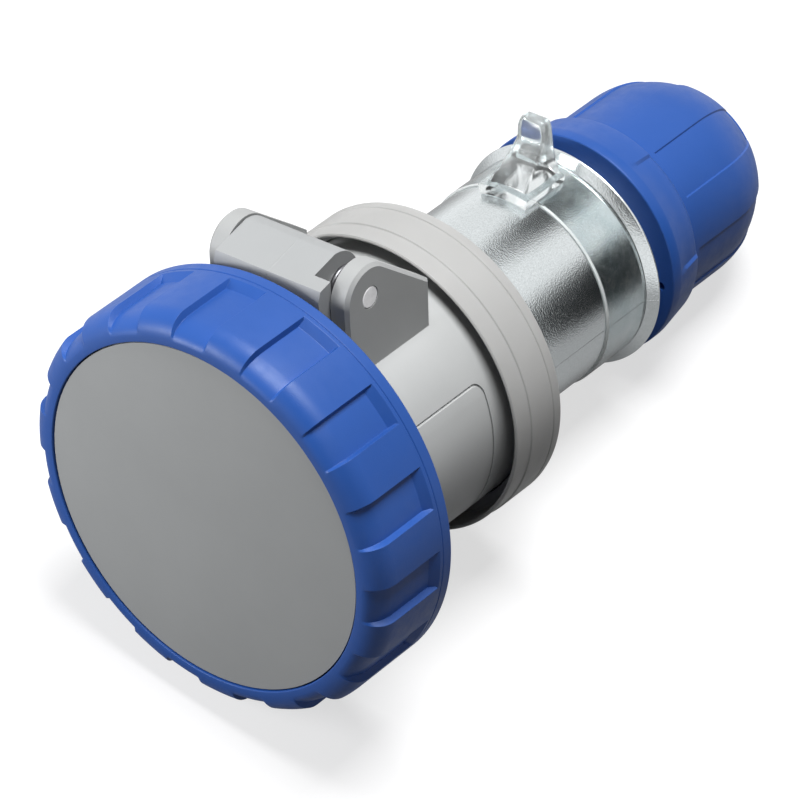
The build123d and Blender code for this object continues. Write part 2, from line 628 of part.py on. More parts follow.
# Clamping claws inside the neck
claw_in = CLAW_R - CLAW_WALL
with BuildPart() as clamp_claws:
    with BuildSketch(PROFILE):
        with BuildLine():
            Polyline((CLAW_FLANGE_Y, LIP_IN), (CLAW_FLANGE_Y, tube_in - GAP), (NECK_WEB, tube_in - GAP),
                     (NECK_WEB, CLAW_R), (CLAW_REAR - 2, CLAW_R), (CLAW_REAR, CLAW_R - 1.6), (CLAW_REAR, claw_in),
                     (LIP_REAR, claw_in), (LIP_REAR, LIP_IN), close=True)
        make_face()
    revolve(axis=Axis.Y)
    with BuildSketch(cross_plane(CLAW_REAR)):
        with PolarLocations(0, CLAWS // 2):
            Rectangle(2 * RIM_R, CLAW_SLOT)
    extrude(amount=CLAW_REAR - CLAW_SLOT_Y, mode=Mode.SUBTRACT)
clamp_claws.part.label = "clamp_claws"

# Rubber grommet that seals on the cable
with BuildPart() as gland_grommet:
    with BuildSketch(PROFILE):
        with BuildLine():
            Polyline((LIP_REAR, GROMMET_IN), (LIP_REAR, claw_in - GAP), (GROMMET_REAR, claw_in - GAP),
                     (GROMMET_REAR, GROMMET_IN + 1.2), (GROMMET_REAR - 1.2, GROMMET_IN), close=True)
        make_face()
    revolve(axis=Axis.Y)
gland_grommet.part.label = "gland_grommet"

# Slip washer in front of the nut's thrust face
with BuildPart() as slip_washer:
    with BuildSketch(cross_plane(THRUST_FRONT)):
        Circle(WASHER_R)
        Circle(CABLE_R + GAP, mode=Mode.SUBTRACT)
    extrude(amount=WASHER_THICK)
slip_washer.part.label = "slip_washer"

# Gland nut: rim, tapered band, domed end with sunk panels, hollow inside
nose_z = DOME_R - NOSE_R
end_y = DOME_STRAIGHT + sqrt(NOSE_R ** 2 - (CABLE_R + 1 - nose_z) ** 2)
lip_front = end_y - NOSE_WALL
thread_in = NECK_R + GAP
inner_r = DOME_R - NUT_WALL
nose_in = NOSE_R - NUT_WALL
lip_r = nose_z + sqrt(nose_in ** 2 - (lip_front - DOME_STRAIGHT) ** 2)
nose_mid = (DOME_STRAIGHT + NOSE_R * sin(radians(35)), nose_z + NOSE_R * cos(radians(35)))
nose_in_mid = (DOME_STRAIGHT + nose_in * sin(radians(25)), nose_z + nose_in * cos(radians(25)))
with BuildPart() as gland_nut:
    with BuildSketch(PROFILE):
        with BuildLine():
            Polyline((DOME_STRAIGHT, DOME_R), (DOME_FRONT, DOME_R), (NUT_BAND_REAR, NUT_BAND_R),
                     (NUT_RIM_REAR, NUT_RIM_R), (NUT_FRONT, NUT_RIM_R), (NUT_FRONT, thread_in),
                     (NUT_THREAD_REAR, thread_in), (THRUST_FRONT, WASHER_R + GAP), (THRUST_FRONT, CABLE_R + 1),
                     (THRUST_REAR, CABLE_R + 1), (THRUST_REAR, inner_r), (DOME_STRAIGHT, inner_r))
            ThreePointArc((DOME_STRAIGHT, inner_r), nose_in_mid, (lip_front, lip_r))
            Polyline((lip_front, lip_r), (lip_front, CABLE_R), (end_y - 1, CABLE_R), (end_y, CABLE_R + 1))
            ThreePointArc((end_y, CABLE_R + 1), nose_mid, (DOME_STRAIGHT, DOME_R))
        make_face()
    revolve(axis=Axis.Y)
    panel_nose = NOSE_R - PANEL_DEEP
    panel_mid = (DOME_STRAIGHT + panel_nose * sin(radians(28)), nose_z + panel_nose * cos(radians(28)))
    panel_end = (DOME_STRAIGHT + panel_nose * sin(radians(56)), nose_z + panel_nose * cos(radians(56)))
    for i in range(PANELS):
        with BuildSketch(side_plane(60 + i * 360 / PANELS)):
            with BuildLine():
                Polyline((DOME_STRAIGHT, DOME_R - PANEL_DEEP), (PANEL_START, DOME_R - PANEL_DEEP),
                         (PANEL_START, DOME_R + 2), (panel_end[0] + 2, DOME_R + 2), panel_end)
                ThreePointArc(panel_end, panel_mid, (DOME_STRAIGHT, DOME_R - PANEL_DEEP))
            make_face()
        revolve(axis=Axis.Y, revolution_arc=180 / PANELS, mode=Mode.SUBTRACT)
    for i in range(BAND_PANELS):
        with BuildSketch(side_plane(60 + i * 360 / BAND_PANELS)):
            with BuildLine():
                Polyline((NUT_RIM_REAR, NUT_RIM_R - BAND_PANEL_DEEP), (NUT_RIM_REAR, NUT_RIM_R + 1),
                         (NUT_BAND_REAR, NUT_RIM_R + 1), (NUT_BAND_REAR, NUT_BAND_R - BAND_PANEL_DEEP),
                         close=True)
            make_face()
        revolve(axis=Axis.Y, revolution_arc=180 / BAND_PANELS, mode=Mode.SUBTRACT)
    with BuildSketch(cross_plane(NUT_FRONT + 3)):
        with Locations(on_circle(VENT_PITCH, VENT_ANGLE)):
            Circle(VENT_R)
    extrude(amount=3, mode=Mode.SUBTRACT)
gland_nut.part.label = "gland_nut"

# Laid down: half a window's turn puts two lands on the table, and the axis dips to the nose
land_r = RING_R * cos(radians(window_arc / 2))
nose_far = hypot(land_r - nose_z, DOME_STRAIGHT - (RING_REAR - REAR_EDGE))
dip = degrees(atan2(land_r - nose_z, DOME_STRAIGHT - (RING_REAR - REAR_EDGE)) - asin(NOSE_R / nose_far))
roll = 180 / WINDOWS

pieces = [
    lid.part, lid_gasket.part, bayonet_ring.part, ring_retainer.part, hinge_pin.part, torsion_spring.part,
    front_housing.part, contact_carrier, phase_contacts, earth_contact, terminal_screws.part,
    contact_plate.part, plate_screws.part, housing_seal.part, coupling_collar.part, handle.part,
    lock_ring.part, clamp_claws.part, gland_grommet.part, slip_washer.part, gland_nut.part,
]
lay = Rot(X=-dip) * Rot(Y=-roll)
box = Compound(children=[Compound((lay * piece).wrapped) for piece in pieces]).bounding_box()
shift = Pos(-(box.min.X + box.max.X) / 2, -(box.min.Y + box.max.Y) / 2, -box.min.Z)
os.makedirs("parts", exist_ok=True)
for piece in pieces:
    placed = shift * lay * piece
    placed.label = piece.label
    export_step(placed, f"parts/{piece.label}.step")
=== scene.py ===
import math
import bmesh
import bpy
from mathutils import Matrix, Vector


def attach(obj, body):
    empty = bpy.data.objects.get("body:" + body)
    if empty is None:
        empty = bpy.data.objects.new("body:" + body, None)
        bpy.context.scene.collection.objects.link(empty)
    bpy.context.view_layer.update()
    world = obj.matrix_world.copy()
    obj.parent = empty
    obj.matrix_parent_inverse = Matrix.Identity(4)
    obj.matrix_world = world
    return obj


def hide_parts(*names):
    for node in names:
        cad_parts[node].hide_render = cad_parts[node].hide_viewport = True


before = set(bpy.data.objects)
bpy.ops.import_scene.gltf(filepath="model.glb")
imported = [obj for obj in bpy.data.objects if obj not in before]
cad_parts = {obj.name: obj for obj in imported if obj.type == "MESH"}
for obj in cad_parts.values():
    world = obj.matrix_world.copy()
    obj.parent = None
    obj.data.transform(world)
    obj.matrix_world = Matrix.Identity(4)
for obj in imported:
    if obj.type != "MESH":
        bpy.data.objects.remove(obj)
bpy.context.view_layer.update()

scene = bpy.context.scene


# Front housing: body tube, shroud, bayonet lugs and the two hinge ears in one piece.
# Injection moulded in light grey nylon with a satin, faintly grained skin; its edges come
# soft from the mould, and a fine outline runs round a flat field on the right side.
def soft_edges(node, width, corner=28.0):
    """Rounds the moulded or turned edges of a piece that comes from model.glb."""
    for polygon in node.data.polygons:
        polygon.use_smooth = True
    joined = node.modifiers.new("joined", "WELD")
    joined.merge_threshold = 0.000002
    flats = node.modifiers.new("flats", "DECIMATE")
    flats.decimate_type = "DISSOLVE"
    flats.angle_limit = math.radians(0.6)
    edge = node.modifiers.new("edge", "BEVEL")
    edge.width = width
    edge.segments = 3
    edge.limit_method = "ANGLE"
    edge.angle_limit = math.radians(corner)
    edge.miter_outer = "MITER_ARC"
    even = node.modifiers.new("even", "WEIGHTED_NORMAL")
    even.weight = 100


# The connector lies on its ring and its nut: the lid dips by 9.92 degrees, and the whole is rolled
# by 12. These are the directions of its own axes.
LID_CENTRE = Vector((0.0, -0.0757133, 0.0459061))
ACROSS = Vector((0.9781476, 0.0358198, 0.2048029))
REARWARD = Vector((0.0, 0.9850474, -0.1722836))
HINGEWARD = Vector((-0.2079117, 0.1685188, 0.9635217))
LYING = Matrix.Translation(LID_CENTRE) @ Matrix((ACROSS, REARWARD, HINGEWARD)).transposed().to_4x4()


def wire(material, *pairs):
    """Joins node sockets, written as (node, socket) pairs."""
    for (start, out), (end, into) in pairs:
        material.node_tree.links.new(start.outputs[out], end.inputs[into])


def noise(material, place, scale, detail=3.0, rough=0.5):
    """Noise on the piece's own coordinates; scale is in waves a metre."""
    grain = material.node_tree.nodes.new("ShaderNodeTexNoise")
    grain.inputs["Scale"].default_value = scale
    grain.inputs["Detail"].default_value = detail
    grain.inputs["Roughness"].default_value = rough
    wire(material, ((place, 0), (grain, "Vector")))
    return grain


def spread(material, source, low, high, start=0.3, end=0.7):
    """Stretches a noise onto the range that a socket takes."""
    span = material.node_tree.nodes.new("ShaderNodeMapRange")
    span.inputs["From Min"].default_value = start
    span.inputs["From Max"].default_value = end
    span.inputs["To Min"].default_value = low
    span.inputs["To Max"].default_value = high
    wire(material, ((source, 0), (span, "Value")))
    return span


def tinted(material, factor, dark, light):
    """Colour between two tints, by a factor."""
    blend = material.node_tree.nodes.new("ShaderNodeMix")
    blend.data_type = "RGBA"
    blend.inputs[6].default_value = (*dark, 1)
    blend.inputs[7].default_value = (*light, 1)
    wire(material, ((factor, 0), (blend, 0)))
    return blend


def skin(material, source, height, strength=1.0, after=None):
    """Relief of the skin, in metres of height."""
    relief = material.node_tree.nodes.new("ShaderNodeBump")
    relief.inputs["Strength"].default_value = strength
    relief.inputs["Distance"].default_value = height
    wire(material, ((source, 0), (relief, "Height")))
    if after is not None:
        wire(material, ((after, 0), (relief, "Normal")))
    return relief


def connector_axes(material):
    """Coordinates in metres along the connector's own axes: x across, y rearward, z to the hinge."""
    nodes = material.node_tree.nodes
    place = nodes.new("ShaderNodeTexCoord")
    turn = nodes.new("ShaderNodeMapping")
    turn.vector_type = "TEXTURE"
    turn.inputs["Location"].default_value = LID_CENTRE
    turn.inputs["Rotation"].default_value = LYING.to_euler()
    wire(material, ((place, "Object"), (turn, "Vector")))
    return turn


def moulded(name, colour, gloss, grain=0.000012, cloud=0.05):
    """Satin moulding: cloudy colour from the flow of the melt, spark-eroded skin, faint rub marks."""
    material = bpy.data.materials.new(name)
    material.use_nodes = True
    shader = material.node_tree.nodes["Principled BSDF"]
    place = connector_axes(material)
    flow = noise(material, place, 38, 4, 0.55)
    dark = [c * (1 - cloud) for c in colour]
    light = [min(1.0, c * (1 + cloud)) for c in colour]
    tint = tinted(material, spread(material, flow, 0, 1), dark, light)
    rub = noise(material, place, 420, 5, 0.6)
    fine = noise(material, place, 4200, 2, 0.5)
    relief = skin(material, fine, grain, 0.5)
    sink = skin(material, noise(material, place, 150, 2, 0.4), 0.00002, 0.35, after=relief)
    wire(material, ((tint, 2), (shader, "Base Color")),
         ((spread(material, rub, gloss - 0.06, gloss + 0.07), 0), (shader, "Roughness")),
         ((sink, 0), (shader, "Normal")))
    shader.inputs["IOR"].default_value = 1.4
    return material


def painted_ear_shade(material, outside, behind, shade):
    """Painted shade: darkens the base colour of what stands out from the tube behind the shroud, the two
    hinge ears, though they are moulded in the same grey as the tube.
    """
    nodes = material.node_tree.nodes
    shader = nodes["Principled BSDF"]
    axes = nodes.new("ShaderNodeSeparateXYZ")
    across = nodes.new("ShaderNodeCombineXYZ")
    radius = nodes.new("ShaderNodeVectorMath")
    radius.operation = "LENGTH"
    beyond = nodes.new("ShaderNodeMath")
    beyond.operation = "GREATER_THAN"
    beyond.inputs[1].default_value = outside
    rearward = nodes.new("ShaderNodeMath")
    rearward.operation = "GREATER_THAN"
    rearward.inputs[1].default_value = behind
    ear_shade_mask = nodes.new("ShaderNodeMath")
    ear_shade_mask.operation = "MULTIPLY"
    wire(material, ((connector_axes(material), "Vector"), (axes, 0)), ((axes, "X"), (across, "X")),
         ((axes, "Z"), (across, "Z")), ((across, 0), (radius, 0)), ((radius, "Value"), (beyond, 0)),
         ((axes, "Y"), (rearward, 0)), ((beyond, 0), (ear_shade_mask, 0)), ((rearward, 0), (ear_shade_mask, 1)))
    shaded = nodes.new("ShaderNodeMix")
    shaded.data_type = "RGBA"
    shaded.blend_type = "MULTIPLY"
    shaded.inputs[0].default_value = 1.0
    before = shader.inputs["Base Color"].links[0].from_node
    ear_shade_colour = tinted(material, ear_shade_mask, (1, 1, 1), (shade, shade, shade))
    wire(material, ((before, 2), (shaded, 6)), ((ear_shade_colour, 2), (shaded, 7)),
         ((shaded, 2), (shader, "Base Color")))


light_grey = moulded("light_grey_moulding", (0.46, 0.47, 0.47), 0.42)
# Painted shade: the hinge ears get 0.8 of the housing's grey, which stands in for the shade that falls on
# them.
painted_ear_shade(light_grey, outside=0.02895, behind=0.0244, shade=0.8)
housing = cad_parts["front_housing"]
housing.data.materials[0] = light_grey
soft_edges(housing, 0.0003)


# Hinge pin: a plain steel pin through both ears and the lid's arm, flush with the ears.
# Drawn bar with chamfered ends, satin grey from tumbling.
def turned_metal(name, colour, rough, scratch=900.0):
    """Drawn or turned metal: fine lines, slightly uneven shine."""
    material = bpy.data.materials.new(name)
    material.use_nodes = True
    shader = material.node_tree.nodes["Principled BSDF"]
    place = connector_axes(material)
    lines = noise(material, place, scratch, 6, 0.65)
    tint = tinted(material, spread(material, lines, 0, 1), [c * 0.86 for c in colour], colour)
    shader.inputs["Metallic"].default_value = 1.0
    wire(material, ((tint, 2), (shader, "Base Color")),
         ((spread(material, lines, rough - 0.07, rough + 0.08), 0), (shader, "Roughness")),
         ((skin(material, noise(material, place, 5200, 2), 0.000006, 0.5), 0), (shader, "Normal")))
    return material


pin_steel = turned_metal("pin_steel", (0.78, 0.78, 0.79), 0.42)
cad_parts["hinge_pin"].data.materials[0] = pin_steel
soft_edges(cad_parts["hinge_pin"], 0.0001)


# Torsion spring: wound from dark oiled spring wire and slipped over the pin in the slot at
# the arm's right end, so that the lid shuts by itself.
spring_wire = turned_metal("spring_wire", (0.16, 0.16, 0.17), 0.36)
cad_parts["torsion_spring"].data.materials[0] = spring_wire


# Contact carrier and rear plate: black thermoset insulators that hold the sleeves apart.
# Pressed, matt, with a slightly chalky skin.
thermoset = moulded("black_thermoset", (0.028, 0.028, 0.031), 0.55, 0.00002, 0.12)
for name in ("contact_carrier", "contact_plate"):
    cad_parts[name].data.materials[0] = thermoset
soft_edges(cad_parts["contact_carrier"], 0.0002)


# Contact sleeves: three for the phases and a wider one for earth, turned from brass bar and
# left bright, with a terminal head behind the carrier.
brass = turned_metal("contact_brass", (0.80, 0.58, 0.26), 0.30, 1400.0)
for name in ("phase_contacts", "earth_contact"):
    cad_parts[name].data.materials[0] = brass


# Screws, slip washer and the lid's retainer clip: zinc plated steel, bought in.
zinc = turned_metal("zinc_plated_steel", (0.66, 0.67, 0.68), 0.34)
for name in ("terminal_screws", "plate_screws", "slip_washer", "ring_retainer"):
    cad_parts[name].data.materials[0] = zinc


# Gaskets and grommet: black rubber, pressed into the lid, between the housing halves and
# round the cable. Matt, with a dusty bloom.
def rubber(name, colour):
    material = moulded(name, colour, 0.68, 0.00003, 0.2)
    shader = material.node_tree.nodes["Principled BSDF"]
    shader.inputs["Sheen Weight"].default_value = 0.15
    return material


black_rubber = rubber("black_rubber", (0.022, 0.022, 0.023))
for name in ("lid_gasket", "housing_seal", "gland_grommet"):
    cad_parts[name].data.materials[0] = black_rubber


# Lid: a plain disc with its hub, the sealing cup behind and the hinge arm on top.
# Moulded in mid grey; the disc's face is finely grained, and a mould line crosses the arm.
grey = moulded("grey_moulding", (0.34, 0.35, 0.355), 0.46, 0.000016, 0.035)


def mould_line(material, half_width, axis, at, beyond, start):
    """Fine raised line where two mould slides met, at a place on one axis, past a start on another."""
    nodes = material.node_tree.nodes
    shader = nodes["Principled BSDF"]
    axes = nodes.new("ShaderNodeSeparateXYZ")
    wire(material, ((connector_axes(material), "Vector"), (axes, 0)))
    away = nodes.new("ShaderNodeMath")
    away.operation = "SUBTRACT"
    away.inputs[1].default_value = at
    off = nodes.new("ShaderNodeMath")
    off.operation = "ABSOLUTE"
    wire(material, ((axes, axis), (away, 0)), ((away, 0), (off, 0)))
    ridge = nodes.new("ShaderNodeMapRange")
    ridge.inputs["From Min"].default_value = half_width
    ridge.inputs["From Max"].default_value = half_width * 0.3
    wire(material, ((off, 0), (ridge, "Value")))
    top = nodes.new("ShaderNodeMath")
    top.operation = "GREATER_THAN"
    top.inputs[1].default_value = start
    wire(material, ((axes, beyond), (top, 0)))
    kept = nodes.new("ShaderNodeMath")
    kept.operation = "MULTIPLY"
    wire(material, ((ridge, 0), (kept, 0)), ((top, 0), (kept, 1)))
    before = shader.inputs["Normal"].links[0].from_node
    wire(material, ((skin(material, kept, 0.00005, 0.8, after=before), 0), (shader, "Normal")))


mould_line(grey, 0.00016, "X", 0.0, "Z", 0.0375)
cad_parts["lid"].data.materials[0] = grey
soft_edges(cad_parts["lid"], 0.00025)


# Bayonet ring: a blue hand ring that turns on the lid's hub and draws the lid shut with two
# inner cams. Moulded in one piece; fifteen sunk windows run out over its rounded front edge.
MM = Matrix.Scale(0.001, 4)


def picked(rule, faces=False):
    """Selects, in edit mode, the points or faces whose place (rearward, radius, angle) fits."""
    bpy.ops.mesh.select_mode(type="FACE" if faces else "VERT")
    bpy.ops.mesh.select_all(action="DESELECT")
    mesh = bmesh.from_edit_mesh(bpy.context.edit_object.data)
    for part in (mesh.faces if faces else mesh.verts):
        co = part.calc_center_median() if faces else part.co
        part.select_set(bool(rule(co.y, math.hypot(co.x, co.z), math.degrees(math.atan2(co.z, co.x)))))
    bmesh.update_edit_mesh(bpy.context.edit_object.data)


def turned(name, section, columns, arc=360.0):
    """Draws a closed section of (rearward, radius) corners in mm and spins it about the axis."""
    bpy.ops.object.select_all(action="DESELECT")
    bpy.ops.mesh.primitive_plane_add(size=0.1, location=(0, section[0][0], section[0][1]))
    piece = bpy.context.active_object
    piece.name = piece.data.name = name
    bpy.ops.object.transform_apply(location=True, rotation=True, scale=True)
    bpy.ops.object.mode_set(mode="EDIT")
    bpy.ops.mesh.select_mode(type="VERT")
    bpy.ops.mesh.select_all(action="SELECT")
    bpy.ops.mesh.merge(type="CENTER")
    for here, there in zip(section, section[1:] + section[:1]):
        step = (0, there[0] - here[0], there[1] - here[1])
        bpy.ops.mesh.extrude_region_move(TRANSFORM_OT_translate={"value": step})
    bpy.ops.mesh.select_all(action="SELECT")
    bpy.ops.mesh.remove_doubles(threshold=0.0005)
    for corner in section:
        if len(corner) == 3:
            picked(lambda y, r, a: abs(y - corner[0]) < 0.001 and abs(r - corner[1]) < 0.001)
            bpy.ops.mesh.bevel(offset=corner[2], segments=3, affect="VERTICES", offset_type="OFFSET")
    bpy.ops.mesh.select_all(action="SELECT")
    if arc < 360:
        half_arc = math.radians(arc / 2)
        bpy.ops.transform.rotate(value=-half_arc, orient_axis="Y", center_override=(0, 0, 0))
        bpy.ops.mesh.edge_face_add()
    bpy.ops.mesh.spin(steps=columns, angle=math.radians(arc), center=(0, 0, 0), axis=(0, 1, 0))
    bpy.ops.mesh.select_all(action="SELECT")
    bpy.ops.mesh.remove_doubles(threshold=0.0005)
    bpy.ops.mesh.normals_make_consistent(inside=False)
    return piece


def laid_down(piece, edge, corner=24.0):
    """Lays a piece that was drawn in mm in the connector's place, with softened edges."""
    bpy.ops.object.mode_set(mode="OBJECT")
    bpy.ops.object.select_all(action="DESELECT")
    piece.select_set(True)
    bpy.context.view_layer.objects.active = piece
    piece.matrix_world = LYING @ MM @ piece.matrix_world
    bpy.ops.object.transform_apply(location=True, rotation=True, scale=True)
    bpy.ops.object.shade_smooth()
    if edge:
        soft = piece.modifiers.new("soft", "BEVEL")
        soft.width = edge
        soft.segments = 3
        soft.limit_method = "ANGLE"
        soft.angle_limit = math.radians(corner)
        soft.harden_normals = True
        bpy.ops.object.modifier_apply(modifier=soft.name)
        closed = piece.modifiers.new("closed", "WELD")
        closed.merge_threshold = 0.000001
        bpy.ops.object.modifier_apply(modifier=closed.name)
    return piece


def off_centre(angle, first, pitch):
    """Degrees from the nearest of the features that repeat at a pitch."""
    return (angle - first + pitch / 2) % pitch - pitch / 2


RING_R, RING_FACE_R, RING_FRONT, RING_ROUND_Y, RING_REAR = 42.99, 38.4, -0.4, 4.6, 21.2
RING_BORE, LID_HOLE, HUB_HOLE, HUB_FRONT, HUB_REAR = 39.0, 37.2, 35.3, 3.9, 7.1
WINDOW_PITCH, WINDOW_HALF, WINDOW_EDGE = 24, 6, 0.45
WINDOW_FLOOR, WINDOW_REAR, WINDOW_END = 41.7, 15.6, 17.4
LINE_FRONT, LINE_DEEPEST, LINE_REAR, LINE_R = 18.1, 18.3, 18.5, 42.8
CAM_AT, CAM_HALF, CAM_R, CAM_FRONT, CAM_REAR = (-32, 148), 13, 33.6, 15.3, 20.4
shoulder = []
for i in range(1, 12):
    a = math.radians(90 * i / 12)
    shoulder.append((RING_ROUND_Y - (RING_ROUND_Y - RING_FRONT) * math.cos(a),
                     RING_FACE_R + (RING_R - RING_FACE_R) * math.sin(a)))
ring = turned("bayonet_ring_turned", [
    (RING_FRONT, LID_HOLE, 0.25), (RING_FRONT, RING_FACE_R), *shoulder, (RING_ROUND_Y, RING_R),
    (8.5, RING_R), (12.5, RING_R), (WINDOW_REAR, RING_R), (WINDOW_END, RING_R), (LINE_FRONT, RING_R),
    (LINE_DEEPEST, LINE_R), (LINE_REAR, RING_R), (20.6, RING_R), (RING_REAR, 42.4), (RING_REAR, RING_BORE),
    (CAM_REAR, RING_BORE), (CAM_FRONT, RING_BORE), (HUB_REAR, RING_BORE), (HUB_REAR, HUB_HOLE),
    (HUB_FRONT, HUB_HOLE), (HUB_FRONT, LID_HOLE)], 240)
picked(lambda y, r, a: abs(off_centre(a, 90, WINDOW_PITCH)) < WINDOW_HALF and y < WINDOW_END
       and r > RING_FACE_R + 0.02 and (r > RING_BORE + 0.4 or y < HUB_FRONT - 0.4), faces=True)
bpy.ops.mesh.inset(thickness=WINDOW_EDGE, depth=0.0)
bpy.ops.mesh.select_mode(type="VERT")


def window_floor(y):
    """Radius of a window's floor, which runs out to the front face."""
    level_from = RING_ROUND_Y + 1.3
    if y < level_from:
        run = (level_from - y) / (level_from - RING_FRONT)
        return RING_FACE_R + (WINDOW_FLOOR - RING_FACE_R) * math.sqrt(max(0.0, 1 - run * run))
    rise = max(0.0, y - WINDOW_REAR) / (WINDOW_END - WINDOW_REAR)
    return WINDOW_FLOOR + rise * (RING_R - WINDOW_FLOOR)


mesh = bmesh.from_edit_mesh(ring.data)
picked_points = [v for v in mesh.verts if v.select]
sunk = [v.index for v in picked_points]
stations = sorted({(round(v.co.y, 2), round(math.hypot(v.co.x, v.co.z), 2)) for v in picked_points})
for y, r in stations:
    bpy.ops.mesh.select_all(action="DESELECT")
    mesh = bmesh.from_edit_mesh(ring.data)
    mesh.verts.ensure_lookup_table()
    for i in sunk:
        co = mesh.verts[i].co
        if round(co.y, 2) == y and round(math.hypot(co.x, co.z), 2) == r:
            mesh.verts[i].select_set(True)
    bmesh.update_edit_mesh(ring.data)
    deep = min(1.0, window_floor(y) / r)
    if deep < 0.9999:
        bpy.ops.transform.resize(value=(deep, 1, deep), center_override=(0, y, 0))
inward = CAM_R / RING_BORE
for cam_at in CAM_AT:
    picked(lambda y, r, a: abs(off_centre(a, cam_at, 360)) < CAM_HALF and CAM_FRONT < y < CAM_REAR
           and r < RING_BORE + 0.2, faces=True)
    bpy.ops.mesh.extrude_region_move()
    bpy.ops.transform.resize(value=(inward, 1, inward), center_override=(0, 0, 0))
laid_down(ring, 0.00018)
blue = moulded("blue_moulding", (0.020, 0.082, 0.335), 0.40, 0.00004, 0.06)
blue.node_tree.nodes["Principled BSDF"].inputs["Specular IOR Level"].default_value = 0.45
blue.node_tree.nodes["Principled BSDF"].inputs["Specular Tint"].default_value = (0.9, 0.95, 1.0, 1)
ring.data.materials.append(blue)
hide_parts("bayonet_ring")
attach(ring, "ring")


# Coupling collar: a pale ring that clamps the handle's flange against the housing, with a
# skirt open to the front. Moulded thin in pale, slightly translucent nylon.
COLLAR_R, SKIRT_R, SKIRT_BORE, FLANGE_ROOM, TUBE_HOLE = 32.5, 32.25, 31.5, 29.1, 22.3
COLLAR_FRONT, COLLAR_STEP, COLLAR_WEB, FLANGE_SEAT, COLLAR_REAR = 54.3, 58.7, 60.5, 66.0, 68.3
BEAD_AT, BEAD = 65.6, 0.25
collar = turned("coupling_collar_turned", [
    (COLLAR_FRONT, 31.8), (COLLAR_FRONT, 31.95), (COLLAR_FRONT + 0.3, SKIRT_R), (COLLAR_STEP, SKIRT_R),
    (COLLAR_STEP + BEAD, COLLAR_R), (BEAD_AT - BEAD, COLLAR_R), (BEAD_AT, COLLAR_R - BEAD),
    (BEAD_AT + BEAD, COLLAR_R), (COLLAR_REAR, COLLAR_R, 0.9), (COLLAR_REAR, TUBE_HOLE),
    (FLANGE_SEAT, TUBE_HOLE), (FLANGE_SEAT, FLANGE_ROOM), (COLLAR_WEB, FLANGE_ROOM),
    (COLLAR_WEB, SKIRT_BORE), (COLLAR_FRONT + 0.3, SKIRT_BORE)], 240)
laid_down(collar, 0.00012)
pale = moulded("pale_moulding", (0.42, 0.42, 0.415), 0.40, 0.000012, 0.05)
pale_shader = pale.node_tree.nodes["Principled BSDF"]
pale_shader.inputs["Subsurface Weight"].default_value = 0.2
pale_shader.inputs["Subsurface Radius"].default_value = (0.003, 0.0028, 0.0026)
pale_shader.inputs["Subsurface Scale"].default_value = 0.6
collar.data.materials.append(pale)
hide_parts("coupling_collar")
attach(collar, "housing")


# Handle: flange, long tube, seat for the lock ring, rolled rim and the threaded neck.
# Moulded and metallised in satin silver: a fine mottled grain with cloudy, uneven shine.
TUBE_R, TUBE_BORE, FLANGE_R, FLANGE_FRONT = 22.0, 19.7, 28.4, 64.0
BAND_SEAT_R, BAND_SEAT_FRONT, RIM_FRONT, RIM_R, RIM_EDGE, RIM_REAR = 21.8, 95.9, 108.6, 24.4, 110.0, 110.5
NECK_R, NECK_BORE, NECK_WEB, NECK_REAR, NECK_CHAMFER = 18.6, 16.2, 108.0, 130.0, 0.8
handle = turned("handle_turned", [
    (FLANGE_FRONT, TUBE_BORE), (FLANGE_FRONT, FLANGE_R), (FLANGE_SEAT, FLANGE_R), (FLANGE_SEAT, TUBE_R),
    (72.0, TUBE_R), (78.0, TUBE_R), (84.0, TUBE_R), (90.0, TUBE_R), (BAND_SEAT_FRONT, TUBE_R),
    (BAND_SEAT_FRONT, BAND_SEAT_R), (RIM_FRONT, BAND_SEAT_R), (RIM_FRONT, TUBE_R + 0.4),
    (RIM_EDGE, RIM_R, 0.3), (RIM_REAR, RIM_R, 0.2), (RIM_REAR, NECK_R), (NECK_REAR - NECK_CHAMFER, NECK_R),
    (NECK_REAR, NECK_R - NECK_CHAMFER), (NECK_REAR, NECK_BORE + 0.5), (NECK_REAR - 0.5, NECK_BORE),
    (NECK_WEB, NECK_BORE), (NECK_WEB, TUBE_BORE)], 240)
laid_down(handle, 0.00015)
silver = bpy.data.materials.new("satin_silver")
silver.use_nodes = True
silver_shader = silver.node_tree.nodes["Principled BSDF"]
silver_place = connector_axes(silver)
mottle = noise(silver, silver_place, 3000, 2, 0.6)
cloudy = noise(silver, silver_place, 60, 3, 0.5)
silver_tint = tinted(silver, spread(silver, mottle, 0, 1), (0.62, 0.66, 0.67), (0.76, 0.80, 0.81))
silver_shader.inputs["Metallic"].default_value = 1.0
silver_relief = skin(silver, mottle, 0.000042, 1.0)
wire(silver, ((silver_tint, 2), (silver_shader, "Base Color")),
     ((spread(silver, cloudy, 0.15, 0.22), 0), (silver_shader, "Roughness")),
     ((silver_relief, 0), (silver_shader, "Normal")))
mould_line(silver, 0.00012, "Z", -0.0019, "Y", 0.072)
handle.data.materials.append(silver)
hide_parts("handle")
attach(handle, "housing")


# Lock ring: a clear band that turns on the handle, with a foot pad and an upright thumb tab.
# Moulded in one piece in clear polycarbonate and polished, so that its edges catch the light.
def joined_on(piece, other, operation="UNION"):
    """Fuses another shape with a piece, or cuts it out, and deletes the other."""
    if bpy.context.object.mode == "EDIT":
        bpy.ops.object.mode_set(mode="OBJECT")
    bpy.ops.object.select_all(action="DESELECT")
    piece.select_set(True)
    bpy.context.view_layer.objects.active = piece
    cut = piece.modifiers.new("cut", "BOOLEAN")
    cut.operation = operation
    cut.object = other
    bpy.ops.object.modifier_apply(modifier=cut.name)
    bpy.data.objects.remove(other)


